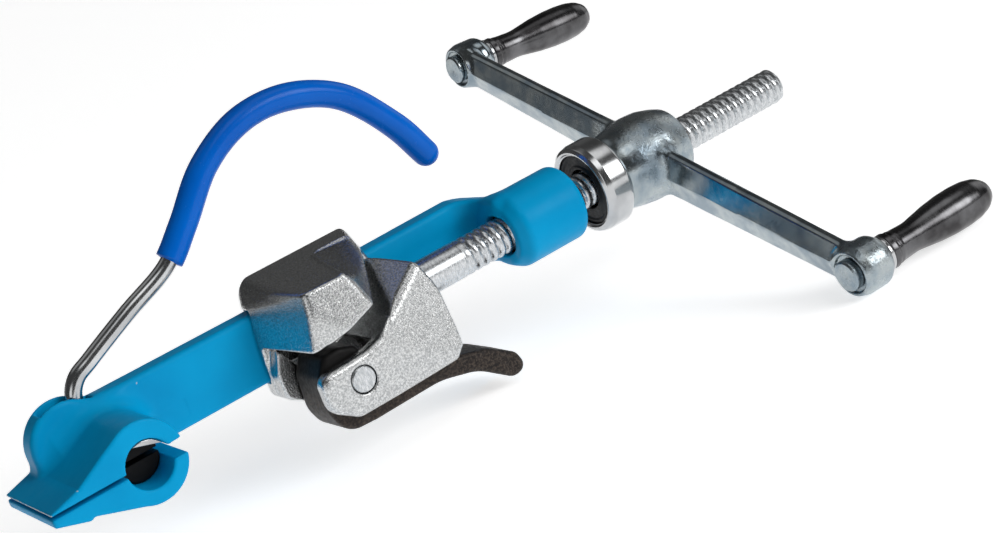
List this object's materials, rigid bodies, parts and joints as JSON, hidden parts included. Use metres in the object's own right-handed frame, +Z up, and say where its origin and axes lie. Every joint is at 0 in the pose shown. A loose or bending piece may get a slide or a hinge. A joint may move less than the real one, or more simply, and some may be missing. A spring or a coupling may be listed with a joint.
{
  "type": "screw strapping tensioner",
  "caption": "Screw-type steel strapping tensioner: slotted nose with rotary band cutter, gripping tension block on a bar, and a two-handled crank on a threaded screw.",
  "frame": {"origin": "middle of the whole tool's footprint, at the height of its lowest point, which is the crank's near end boss", "axes": "+X along the screw from the nose to the crank, +Y to the side that the body's bar is on, +Z up towards the cutter handle"},
  "size_m": [0.307, 0.2102, 0.121],
  "materials": {
    "blue_paint": "satin light blue paint over a smooth casting",
    "blue_vinyl": "glossy dipped vinyl grip",
    "cast_zinc": "bright zinc plate over a grainy investment casting",
    "zinc_plate": "bluish zinc plate over a forging",
    "zinc_thread": "zinc-plated rolled thread and pin",
    "bright_steel": "polished steel",
    "turned_steel": "dark polished turned steel",
    "black_oxide": "black oxide, lightly oiled",
    "brown_oxide": "dark brown-black heat-treat scale with fine speckle",
    "black_rubber": "matte moulded seal",
    "bronze": "machined bronze"
  },
  "bodies": {
    "frame": {"body_casting": "blue_paint", "boss_bush": "bronze"},
    "cutter": {"cutter_shaft": "black_oxide", "cutter_blade": "bright_steel", "cutter_retaining_ring": "black_oxide", "cutter_handle_rod": "bright_steel", "cutter_handle_grip": "blue_vinyl"},
    "carriage": {"tension_block": "cast_zinc", "tension_screw": "zinc_thread", "screw_lock_pin": "bright_steel", "gripper_pin": "zinc_thread", "gripper_spring": "bright_steel"},
    "gripper": {"gripper_lever": "brown_oxide"},
    "crank": {"crank_forging": "zinc_plate", "drive_nut": "bronze", "nut_set_screw": "black_oxide", "handle_spindle_near": "zinc_plate", "handle_washer_near": "bright_steel", "handle_spindle_far": "zinc_plate", "handle_washer_far": "bright_steel", "bearing_rear_race": "bright_steel"},
    "bearing_cup": {"bearing_outer_ring": "bright_steel", "bearing_seal": "black_rubber", "bearing_front_race": "bright_steel"},
    "ball_set": {"bearing_cage": "bronze", "bearing_ball_1": "bright_steel", "bearing_ball_2": "bright_steel", "bearing_ball_3": "bright_steel", "bearing_ball_4": "bright_steel", "bearing_ball_5": "bright_steel", "bearing_ball_6": "bright_steel", "bearing_ball_7": "bright_steel", "bearing_ball_8": "bright_steel", "bearing_ball_9": "bright_steel"},
    "grip_near": {"handle_grip_near": "turned_steel"},
    "grip_far": {"handle_grip_far": "turned_steel"}
  },
  "joints": [
    {"name": "crank_turn", "type": "hinge", "parent": "frame", "child": "crank", "pos_m": [0.09, 0, 0.04494], "axis": [-1, 0, 0], "range_deg": [-3780, 1440]},
    {"name": "block_travel", "type": "slide", "parent": "frame", "child": "carriage", "axis": [1, 0, 0], "range_m": [-0.0334, 0.0128]},
    {"name": "gripper_tilt", "type": "hinge", "parent": "carriage", "child": "gripper", "pos_m": [-0.04575, 0, 0.03064], "axis": [0, -1, 0], "range_deg": [0, 8], "stiffness_Nm_per_rad": 1, "springref_deg": -17.19, "deforming": ["gripper_spring"]},
    {"name": "cutter_turn", "type": "hinge", "parent": "frame", "child": "cutter", "pos_m": [-0.11965, 0, 0.04024], "axis": [0, -1, 0], "range_deg": [0, 20]},
    {"name": "grip_near_spin", "type": "hinge", "parent": "crank", "child": "grip_near", "pos_m": [0.11, -0.09641, 0.0087], "axis": [1, 0, 0], "continuous": true},
    {"name": "grip_far_spin", "type": "hinge", "parent": "crank", "child": "grip_far", "pos_m": [0.08475, 0.09641, 0.08118], "axis": [0.9986, 0, -0.0523], "continuous": true},
    {"name": "bearing_cup_spin", "type": "hinge", "parent": "crank", "child": "bearing_cup", "pos_m": [0.069, 0, 0.04494], "axis": [1, 0, 0], "continuous": true},
    {"name": "ball_set_spin", "type": "hinge", "parent": "crank", "child": "ball_set", "pos_m": [0.069, 0, 0.04494], "axis": [1, 0, 0], "continuous": true}
  ],
  "couplings": [
    {"joint": "block_travel", "follows": "crank_turn", "m_per_rad": 0.00050532},
    {"joint": "ball_set_spin", "follows": "bearing_cup_spin", "ratio": 0.5}
  ]
}
